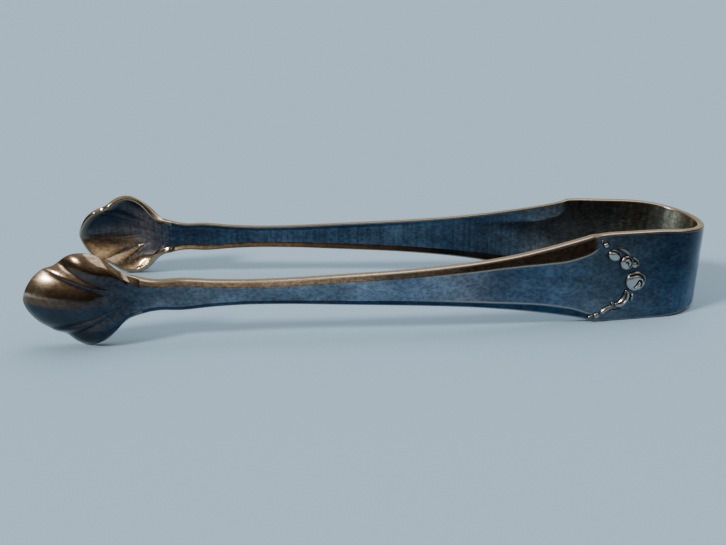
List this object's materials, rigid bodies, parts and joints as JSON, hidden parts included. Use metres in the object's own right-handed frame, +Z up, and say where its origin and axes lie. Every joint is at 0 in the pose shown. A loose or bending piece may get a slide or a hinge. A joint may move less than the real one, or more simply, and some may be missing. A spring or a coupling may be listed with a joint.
{
  "type": "ice tongs",
  "caption": "Sprung one-hand ice or sugar tongs: U-shaped bow, two tapering bevelled arms, fluted shell bowls and scroll ornament at the shoulders.",
  "frame": {"origin": "under the middle of the bounding box, on the surface that the tongs lie on", "axes": "+X from the bowl tips to the crown of the bow, +Y from the front arm to the back arm, +Z up the width of the strip"},
  "size_m": [0.127, 0.0424, 0.0176],
  "materials": {
    "aged_silver_strip": "old silver plate, tarnished brown and blue-grey, with bright worn edges",
    "aged_silver_bowl": "old silver plate with a golden brown tarnish, polished by use",
    "aged_silver_ornament": "brighter worn silver with dark tarnish in its recesses"
  },
  "bodies": {
    "bow": {"bow_crown": "aged_silver_strip"},
    "front_half": {"front_arm": "aged_silver_strip", "front_bean_scroll": "aged_silver_ornament", "front_boss": "aged_silver_ornament", "front_bowl": "aged_silver_bowl", "front_crescent_scroll": "aged_silver_ornament", "front_curl_leaf": "aged_silver_ornament", "front_drop_leaf": "aged_silver_ornament", "front_foot_leaf": "aged_silver_ornament", "front_lower_bead": "aged_silver_ornament", "front_oval_scroll": "aged_silver_ornament", "front_shoulder": "aged_silver_strip", "front_side_leaf": "aged_silver_ornament", "front_tail_scroll": "aged_silver_ornament", "front_top_leaf": "aged_silver_ornament", "front_upper_bead": "aged_silver_ornament"},
    "back_half": {"back_arm": "aged_silver_strip", "back_bean_scroll": "aged_silver_ornament", "back_boss": "aged_silver_ornament", "back_bowl": "aged_silver_bowl", "back_crescent_scroll": "aged_silver_ornament", "back_curl_leaf": "aged_silver_ornament", "back_drop_leaf": "aged_silver_ornament", "back_foot_leaf": "aged_silver_ornament", "back_lower_bead": "aged_silver_ornament", "back_oval_scroll": "aged_silver_ornament", "back_shoulder": "aged_silver_strip", "back_side_leaf": "aged_silver_ornament", "back_tail_scroll": "aged_silver_ornament", "back_top_leaf": "aged_silver_ornament", "back_upper_bead": "aged_silver_ornament"}
  },
  "joints": [
    {"name": "front_squeeze", "type": "hinge", "parent": "bow", "child": "front_half", "pos_m": [0.05439, -0.00957, 0.0088], "axis": [0, 0, -1], "range_deg": [-3, 7.7], "stiffness_Nm_per_rad": 3},
    {"name": "back_squeeze", "type": "hinge", "parent": "bow", "child": "back_half", "pos_m": [0.05439, 0.00957, 0.0088], "axis": [0, 0, 1], "range_deg": [-3, 7.7], "stiffness_Nm_per_rad": 3}
  ],
  "couplings": [
    {"joint": "back_squeeze", "follows": "front_squeeze", "ratio": 1}
  ]
}
